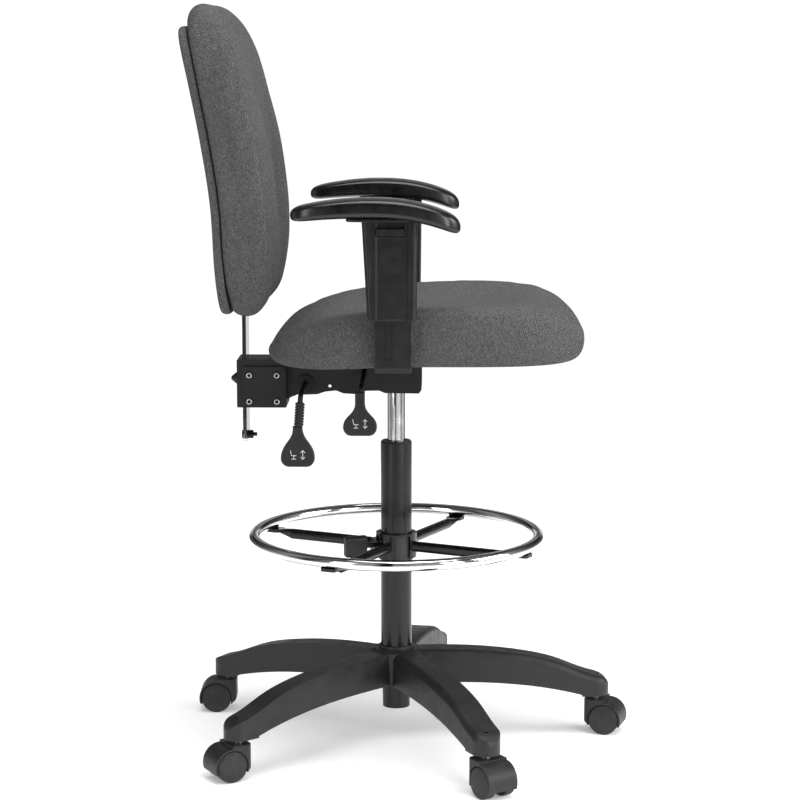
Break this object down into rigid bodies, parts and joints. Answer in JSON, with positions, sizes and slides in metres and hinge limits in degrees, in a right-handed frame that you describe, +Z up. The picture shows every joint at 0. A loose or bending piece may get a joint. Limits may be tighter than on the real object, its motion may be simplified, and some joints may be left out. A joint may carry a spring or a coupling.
{
  "type": "drafting chair",
  "caption": "Tall swivel chair with footring, gas lift, T arms, padded seat and reclining back on a five-leg caster base.",
  "frame": {"origin": "on the floor, on the axis of the gas column, level with the lowest points of the wheels", "axes": "+Z up along the gas column; the sitter faces -Y; the sitter's right hand is on -X"},
  "size_m": [0.7261, 0.7181, 1.187],
  "materials": {
    "base_plastic": "satin black nylon",
    "caster_plastic": "satin dark grey nylon",
    "steel_pin": "bright steel",
    "column_paint": "semi-gloss black powder coat",
    "bush_nylon": "moulded nylon",
    "chrome": "polished chrome",
    "frame_paint": "black powder coat",
    "block_plastic": "moulded black plastic",
    "black_bolt": "black oxide steel",
    "bright_bolt": "zinc plated",
    "knob_plastic": "moulded black plastic",
    "boot_rubber": "soft black rubber",
    "plywood": "raw plywood",
    "fabric_grey": "woven charcoal grey upholstery",
    "arm_plastic": "fine-grained black plastic",
    "pad_skin": "self-skinned urethane, satin"
  },
  "bodies": {
    "base": {"base_star": "base_plastic", "column_tube": "column_paint", "guide_bush": "bush_nylon", "thrust_bearing": "steel_pin"},
    "gas_rod": {"piston_rod": "steel_pin"},
    "seat_lift": {"gas_cylinder": "chrome", "mechanism_housing": "frame_paint", "pivot_pin": "steel_pin", "recline_spring": "steel_pin", "seat_board": "plywood", "seat_bolts": "black_bolt", "seat_cushion": "fabric_grey", "right_arm_bracket": "frame_paint", "left_arm_bracket": "frame_paint"},
    "valve": {"valve_pin": "steel_pin"},
    "gas_lever": {"gas_lever": "black_bolt", "gas_paddle": "knob_plastic"},
    "back_lever": {"back_lever": "black_bolt", "back_lever_boot": "boot_rubber", "back_paddle": "knob_plastic"},
    "footring_slide": {"footring": "chrome", "footring_frame": "column_paint", "footring_liner": "bush_nylon"},
    "footring_knob": {"footring_knob": "knob_plastic"},
    "back_tilt": {"back_arm": "frame_paint", "bar_block": "block_plastic", "block_plates": "frame_paint", "block_bolts": "bright_bolt"},
    "back_knob": {"back_knob": "knob_plastic"},
    "back_rest": {"back_bar": "chrome", "bar_stop_bolt": "black_bolt", "back_board": "plywood", "back_cushion": "fabric_grey", "back_panel": "fabric_grey"},
    "right_arm": {"right_arm_sleeve": "arm_plastic", "right_arm_pad": "pad_skin"},
    "left_arm": {"left_arm_sleeve": "arm_plastic", "left_arm_pad": "pad_skin"},
    "right_arm_button": {"right_arm_button": "arm_plastic"},
    "left_arm_button": {"left_arm_button": "arm_plastic"},
    "caster_1": {"caster_1_hood": "caster_plastic", "caster_1_pins": "steel_pin"},
    "caster_1_wheel_left": {"caster_1_wheel_left": "caster_plastic"},
    "caster_1_wheel_right": {"caster_1_wheel_right": "caster_plastic"},
    "caster_2": {"caster_2_hood": "caster_plastic", "caster_2_pins": "steel_pin"},
    "caster_2_wheel_left": {"caster_2_wheel_left": "caster_plastic"},
    "caster_2_wheel_right": {"caster_2_wheel_right": "caster_plastic"},
    "caster_3": {"caster_3_hood": "caster_plastic", "caster_3_pins": "steel_pin"},
    "caster_3_wheel_left": {"caster_3_wheel_left": "caster_plastic"},
    "caster_3_wheel_right": {"caster_3_wheel_right": "caster_plastic"},
    "caster_4": {"caster_4_hood": "caster_plastic", "caster_4_pins": "steel_pin"},
    "caster_4_wheel_left": {"caster_4_wheel_left": "caster_plastic"},
    "caster_4_wheel_right": {"caster_4_wheel_right": "caster_plastic"},
    "caster_5": {"caster_5_hood": "caster_plastic", "caster_5_pins": "steel_pin"},
    "caster_5_wheel_left": {"caster_5_wheel_left": "caster_plastic"},
    "caster_5_wheel_right": {"caster_5_wheel_right": "caster_plastic"}
  },
  "joints": [
    {"name": "caster_1_swivel", "type": "hinge", "parent": "base", "child": "caster_1", "pos_m": [0.04237, -0.32626, 0.07], "axis": [0, 0, 1], "continuous": true},
    {"name": "caster_1_left_roll", "type": "hinge", "parent": "caster_1", "child": "caster_1_wheel_left", "pos_m": [0.03659, -0.34541, 0.025], "axis": [0.9573, -0.289, 0], "continuous": true},
    {"name": "caster_1_right_roll", "type": "hinge", "parent": "caster_1", "child": "caster_1_wheel_right", "pos_m": [0.03659, -0.34541, 0.025], "axis": [0.9573, -0.289, 0], "continuous": true},
    {"name": "caster_2_swivel", "type": "hinge", "parent": "base", "child": "caster_2", "pos_m": [0.32339, -0.06052, 0.07], "axis": [0, 0, 1], "continuous": true},
    {"name": "caster_2_left_roll", "type": "hinge", "parent": "caster_2", "child": "caster_2_wheel_left", "pos_m": [0.33656, -0.07557, 0.025], "axis": [0.7524, 0.6587, 0], "continuous": true},
    {"name": "caster_2_right_roll", "type": "hinge", "parent": "caster_2", "child": "caster_2_wheel_right", "pos_m": [0.33656, -0.07557, 0.025], "axis": [0.7524, 0.6587, 0], "continuous": true},
    {"name": "caster_3_swivel", "type": "hinge", "parent": "base", "child": "caster_3", "pos_m": [0.15749, 0.28886, 0.07], "axis": [0, 0, 1], "continuous": true},
    {"name": "caster_3_left_roll", "type": "hinge", "parent": "caster_3", "child": "caster_3_wheel_left", "pos_m": [0.15707, 0.30885, 0.025], "axis": [-0.9998, -0.0209, 0], "continuous": true},
    {"name": "caster_3_right_roll", "type": "hinge", "parent": "caster_3", "child": "caster_3_wheel_right", "pos_m": [0.15707, 0.30885, 0.025], "axis": [-0.9998, -0.0209, 0], "continuous": true},
    {"name": "caster_4_swivel", "type": "hinge", "parent": "base", "child": "caster_4", "pos_m": [-0.22605, 0.23904, 0.07], "axis": [0, 0, 1], "continuous": true},
    {"name": "caster_4_left_roll", "type": "hinge", "parent": "caster_4", "child": "caster_4_wheel_left", "pos_m": [-0.23581, 0.2565, 0.025], "axis": [-0.8729, -0.4879, 0], "continuous": true},
    {"name": "caster_4_right_roll", "type": "hinge", "parent": "caster_4", "child": "caster_4_wheel_right", "pos_m": [-0.23581, 0.2565, 0.025], "axis": [-0.8729, -0.4879, 0], "continuous": true},
    {"name": "caster_5_swivel", "type": "hinge", "parent": "base", "child": "caster_5", "pos_m": [-0.2972, -0.14112, 0.07], "axis": [0, 0, 1], "continuous": true},
    {"name": "caster_5_left_roll", "type": "hinge", "parent": "caster_5", "child": "caster_5_wheel_left", "pos_m": [-0.31374, -0.15236, 0.025], "axis": [0.5621, -0.8271, 0], "continuous": true},
    {"name": "caster_5_right_roll", "type": "hinge", "parent": "caster_5", "child": "caster_5_wheel_right", "pos_m": [-0.31374, -0.15236, 0.025], "axis": [0.5621, -0.8271, 0], "continuous": true},
    {"name": "seat_swivel", "type": "hinge", "parent": "base", "child": "gas_rod", "pos_m": [0, 0, 0.3], "axis": [0, 0, 1], "continuous": true},
    {"name": "seat_height", "type": "slide", "parent": "gas_rod", "child": "seat_lift", "axis": [0, 0, 1], "range_m": [-0.075, 0.165]},
    {"name": "gas_lever_lift", "type": "hinge", "parent": "seat_lift", "child": "gas_lever", "pos_m": [-0.048, 0.05, 0.608], "axis": [0, 1, 0], "range_deg": [0, 5], "stiffness_Nm_per_rad": 6, "springref_deg": -2.86},
    {"name": "valve_press", "type": "slide", "parent": "seat_lift", "child": "valve", "axis": [0, 0, -1], "range_m": [0, 0.0043]},
    {"name": "back_lock_lever", "type": "hinge", "parent": "seat_lift", "child": "back_lever", "pos_m": [-0.165, 0.143, 0.59], "axis": [1, 0, 0], "range_deg": [-12, 0]},
    {"name": "back_recline", "type": "hinge", "parent": "seat_lift", "child": "back_tilt", "pos_m": [0, 0.143, 0.59], "axis": [-1, 0, 0], "range_deg": [-3, 18]},
    {"name": "back_height", "type": "slide", "parent": "back_tilt", "child": "back_rest", "axis": [0, 0, 1], "range_m": [-0.04, 0.036]},
    {"name": "back_knob_turn", "type": "hinge", "parent": "back_tilt", "child": "back_knob", "pos_m": [0, 0.26, 0.59], "axis": [0, 1, 0], "continuous": true},
    {"name": "footring_height", "type": "slide", "parent": "base", "child": "footring_slide", "axis": [0, 0, 1], "range_m": [-0.13, 0.12]},
    {"name": "footring_knob_turn", "type": "hinge", "parent": "footring_slide", "child": "footring_knob", "pos_m": [-0.02013, 0.05652, 0.322], "axis": [-0.3355, 0.9421, 0], "continuous": true},
    {"name": "right_arm_height", "type": "slide", "parent": "seat_lift", "child": "right_arm", "axis": [0, 0, 1], "range_m": [-0.055, 0.03]},
    {"name": "right_button_press", "type": "slide", "parent": "right_arm", "child": "right_arm_button", "axis": [1, 0, 0], "range_m": [0, 0.003], "stiffness_N_per_m": 500, "springref_m": -0.002},
    {"name": "left_arm_height", "type": "slide", "parent": "seat_lift", "child": "left_arm", "axis": [0, 0, 1], "range_m": [-0.055, 0.03]},
    {"name": "left_button_press", "type": "slide", "parent": "left_arm", "child": "left_arm_button", "axis": [-1, 0, 0], "range_m": [0, 0.003], "stiffness_N_per_m": 500, "springref_m": -0.002}
  ],
  "couplings": [
    {"joint": "valve_press", "follows": "gas_lever_lift", "m_per_rad": 0.048}
  ]
}
